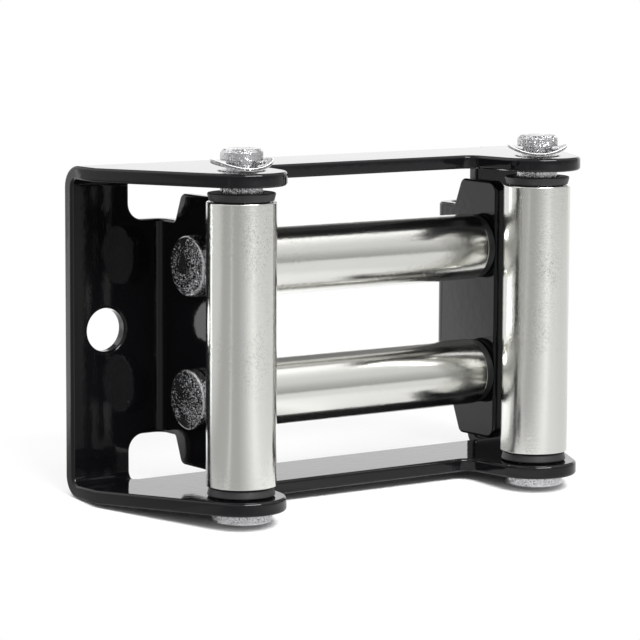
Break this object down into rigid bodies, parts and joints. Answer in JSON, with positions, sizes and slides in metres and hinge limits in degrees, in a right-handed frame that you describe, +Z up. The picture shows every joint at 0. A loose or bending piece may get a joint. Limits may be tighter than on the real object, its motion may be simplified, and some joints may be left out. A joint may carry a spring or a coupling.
{
  "type": "roller fairlead",
  "caption": "Hawse-type roller fairlead for a small winch: folded steel frame with upright rollers in front of level rollers, each a steel tube on a clipped pin, guiding a rope from any side.",
  "frame": {"origin": "centre of the mounting face, midway between the two mounting holes, on the plane that bolts against the winch mount", "axes": "+X to the right along the long side, +Y into the surface it is bolted to, +Z up; the rope leaves towards -Y"},
  "size_m": [0.144, 0.0507, 0.0909],
  "materials": {
    "gloss_black_coat": "gloss black coat over steel sheet",
    "satin_steel": "satin polished tube, bright",
    "black_plastic": "plain moulded nylon, matte",
    "zinc_plate": "bright zinc plate"
  },
  "bodies": {
    "frame": {"frame": "gloss_black_coat"},
    "pin_left": {"pin_left": "zinc_plate", "clip_left": "zinc_plate"},
    "pin_right": {"pin_right": "zinc_plate", "clip_right": "zinc_plate"},
    "pin_upper": {"pin_upper": "zinc_plate", "clip_upper": "zinc_plate"},
    "pin_lower": {"pin_lower": "zinc_plate", "clip_lower": "zinc_plate"},
    "roller_left": {"roller_tube_left": "satin_steel", "bushing_left_bottom": "black_plastic", "bushing_left_top": "black_plastic"},
    "roller_right": {"roller_tube_right": "satin_steel", "bushing_right_bottom": "black_plastic", "bushing_right_top": "black_plastic"},
    "roller_upper": {"roller_tube_upper": "satin_steel", "bushing_upper_left": "black_plastic", "bushing_upper_right": "black_plastic"},
    "roller_lower": {"roller_tube_lower": "satin_steel", "bushing_lower_left": "black_plastic", "bushing_lower_right": "black_plastic"}
  },
  "joints": [
    {"name": "pin_left_turn", "type": "hinge", "parent": "frame", "child": "pin_left", "pos_m": [-0.0461, -0.0396, 0], "axis": [0, 0, 1], "continuous": true},
    {"name": "pin_right_turn", "type": "hinge", "parent": "frame", "child": "pin_right", "pos_m": [0.0461, -0.0396, 0], "axis": [0, 0, 1], "continuous": true},
    {"name": "pin_upper_turn", "type": "hinge", "parent": "frame", "child": "pin_upper", "pos_m": [0, -0.0195, 0.01655], "axis": [1, 0, 0], "continuous": true},
    {"name": "pin_lower_turn", "type": "hinge", "parent": "frame", "child": "pin_lower", "pos_m": [0, -0.0195, -0.01655], "axis": [1, 0, 0], "continuous": true},
    {"name": "roller_left_spin", "type": "hinge", "parent": "pin_left", "child": "roller_left", "pos_m": [-0.0461, -0.0396, 0], "axis": [0, 0, 1], "continuous": true},
    {"name": "roller_right_spin", "type": "hinge", "parent": "pin_right", "child": "roller_right", "pos_m": [0.0461, -0.0396, 0], "axis": [0, 0, 1], "continuous": true},
    {"name": "roller_upper_spin", "type": "hinge", "parent": "pin_upper", "child": "roller_upper", "pos_m": [0, -0.0195, 0.01655], "axis": [1, 0, 0], "continuous": true},
    {"name": "roller_lower_spin", "type": "hinge", "parent": "pin_lower", "child": "roller_lower", "pos_m": [0, -0.0195, -0.01655], "axis": [1, 0, 0], "continuous": true}
  ]
}
